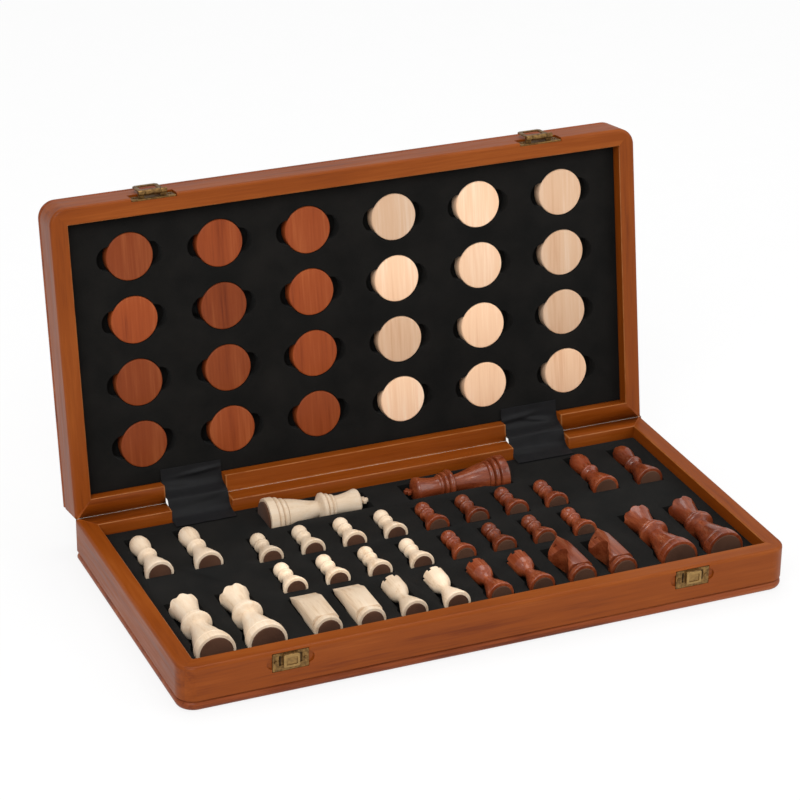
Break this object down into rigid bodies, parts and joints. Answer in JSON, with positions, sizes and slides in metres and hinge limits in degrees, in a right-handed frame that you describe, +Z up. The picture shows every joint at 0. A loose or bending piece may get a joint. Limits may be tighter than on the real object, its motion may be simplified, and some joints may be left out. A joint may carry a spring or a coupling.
{
  "type": "folding games box with chess men and counters",
  "caption": "Folding wooden games box: two hinged trays with foam beds hold turned chess men and round counters; opened flat, the outer faces form a chequered board.",
  "frame": {"origin": "middle of the underside of the lower tray", "axes": "+X along the hinge line, -Y towards the latches, +Z up; the lid stands open at 98.7 degrees"},
  "size_m": [0.39, 0.255, 0.2247],
  "materials": {
    "lacquered_wood": "clear gloss lacquer over orange-brown stained wood",
    "moulding_wood": "clear gloss lacquer over red-brown stained wood",
    "light_veneer": "satin lacquered pale veneer",
    "dark_veneer": "satin lacquered dark veneer",
    "flocked_foam": "matt black flocked foam",
    "cover_cloth": "black coated cloth with a slight sheen",
    "aged_brass": "aged satin brass",
    "cream_wood": "smooth satin pale wood",
    "red_brown_wood": "smooth glossy red-brown stained wood",
    "brown_felt": "matt brown felt",
    "counter_brown_wood": "smooth satin red-brown stained wood",
    "counter_natural_wood": "smooth satin natural wood"
  },
  "bodies": {
    "base": {"base_front_rail": "lacquered_wood", "base_back_rail": "lacquered_wood", "base_left_rail": "lacquered_wood", "base_right_rail": "lacquered_wood", "base_board_panel": "moulding_wood", "base_light_squares": "light_veneer", "base_dark_squares": "dark_veneer", "base_foam_tray": "flocked_foam", "left_hinge_base_leaf": "aged_brass", "right_hinge_base_leaf": "aged_brass", "hinge_pins": "aged_brass", "hinge_base_screws": "aged_brass", "hinge_base_covers": "cover_cloth", "left_catch_plate": "aged_brass", "right_catch_plate": "aged_brass", "catch_nails": "aged_brass"},
    "lid": {"lid_front_rail": "lacquered_wood", "lid_back_rail": "lacquered_wood", "lid_left_rail": "lacquered_wood", "lid_right_rail": "lacquered_wood", "lid_board_panel": "moulding_wood", "lid_light_squares": "light_veneer", "lid_dark_squares": "dark_veneer", "lid_foam_tray": "flocked_foam", "left_hinge_lid_leaf": "aged_brass", "right_hinge_lid_leaf": "aged_brass", "hinge_lid_screws": "aged_brass", "hinge_lid_covers": "cover_cloth", "left_hasp_plate": "aged_brass", "right_hasp_plate": "aged_brass", "hasp_plate_nails": "aged_brass", "hasp_pins": "aged_brass"},
    "left_hasp_flap": {"left_hasp": "aged_brass"},
    "right_hasp_flap": {"right_hasp": "aged_brass"},
    "cream_king_lifted": {"cream_king": "cream_wood", "cream_king_felt": "brown_felt"},
    "cream_queens_lifted": {"cream_queens": "cream_wood", "cream_queen_felts": "brown_felt"},
    "cream_bishops_lifted": {"cream_bishops": "cream_wood", "cream_bishop_felts": "brown_felt"},
    "cream_knights_lifted": {"cream_knights": "cream_wood", "cream_knight_felts": "brown_felt"},
    "cream_rooks_lifted": {"cream_rooks": "cream_wood", "cream_rook_felts": "brown_felt"},
    "cream_pawns_lifted": {"cream_pawns": "cream_wood", "cream_pawn_felts": "brown_felt"},
    "brown_king_lifted": {"brown_king": "red_brown_wood", "brown_king_felt": "brown_felt"},
    "brown_queens_lifted": {"brown_queens": "red_brown_wood", "brown_queen_felts": "brown_felt"},
    "brown_bishops_lifted": {"brown_bishops": "red_brown_wood", "brown_bishop_felts": "brown_felt"},
    "brown_knights_lifted": {"brown_knights": "red_brown_wood", "brown_knight_felts": "brown_felt"},
    "brown_rooks_lifted": {"brown_rooks": "red_brown_wood", "brown_rook_felts": "brown_felt"},
    "brown_pawns_lifted": {"brown_pawns": "red_brown_wood", "brown_pawn_felts": "brown_felt"},
    "brown_counters_lifted": {"brown_counters": "counter_brown_wood"},
    "natural_counters_lifted": {"natural_counters": "counter_natural_wood"}
  },
  "joints": [
    {"name": "lid_hinge", "type": "hinge", "parent": "base", "child": "lid", "pos_m": [0, 0.09765, 0.02865], "axis": [-1, 0, 0], "range_deg": [-98.7, 81.3]},
    {"name": "left_hasp_pivot", "type": "hinge", "parent": "lid", "child": "left_hasp_flap", "pos_m": [-0.129, 0.13058, 0.22306], "axis": [-1, 0, 0], "range_deg": [-178, 0]},
    {"name": "right_hasp_pivot", "type": "hinge", "parent": "lid", "child": "right_hasp_flap", "pos_m": [0.129, 0.13058, 0.22306], "axis": [-1, 0, 0], "range_deg": [-178, 0]},
    {"name": "cream_king_lift", "type": "slide", "parent": "base", "child": "cream_king_lifted", "axis": [0, 0, 1], "range_m": [0, 0.03]},
    {"name": "cream_queens_lift", "type": "slide", "parent": "base", "child": "cream_queens_lifted", "axis": [0, 0, 1], "range_m": [0, 0.03]},
    {"name": "cream_bishops_lift", "type": "slide", "parent": "base", "child": "cream_bishops_lifted", "axis": [0, 0, 1], "range_m": [0, 0.03]},
    {"name": "cream_knights_lift", "type": "slide", "parent": "base", "child": "cream_knights_lifted", "axis": [0, 0, 1], "range_m": [0, 0.03]},
    {"name": "cream_rooks_lift", "type": "slide", "parent": "base", "child": "cream_rooks_lifted", "axis": [0, 0, 1], "range_m": [0, 0.03]},
    {"name": "cream_pawns_lift", "type": "slide", "parent": "base", "child": "cream_pawns_lifted", "axis": [0, 0, 1], "range_m": [0, 0.03]},
    {"name": "brown_king_lift", "type": "slide", "parent": "base", "child": "brown_king_lifted", "axis": [0, 0, 1], "range_m": [0, 0.03]},
    {"name": "brown_queens_lift", "type": "slide", "parent": "base", "child": "brown_queens_lifted", "axis": [0, 0, 1], "range_m": [0, 0.03]},
    {"name": "brown_bishops_lift", "type": "slide", "parent": "base", "child": "brown_bishops_lifted", "axis": [0, 0, 1], "range_m": [0, 0.03]},
    {"name": "brown_knights_lift", "type": "slide", "parent": "base", "child": "brown_knights_lifted", "axis": [0, 0, 1], "range_m": [0, 0.03]},
    {"name": "brown_rooks_lift", "type": "slide", "parent": "base", "child": "brown_rooks_lifted", "axis": [0, 0, 1], "range_m": [0, 0.03]},
    {"name": "brown_pawns_lift", "type": "slide", "parent": "base", "child": "brown_pawns_lifted", "axis": [0, 0, 1], "range_m": [0, 0.03]},
    {"name": "brown_counters_lift", "type": "slide", "parent": "lid", "child": "brown_counters_lifted", "axis": [0, -0.9885, 0.1513], "range_m": [0, 0.02]},
    {"name": "natural_counters_lift", "type": "slide", "parent": "lid", "child": "natural_counters_lifted", "axis": [0, -0.9885, 0.1513], "range_m": [0, 0.02]}
  ]
}
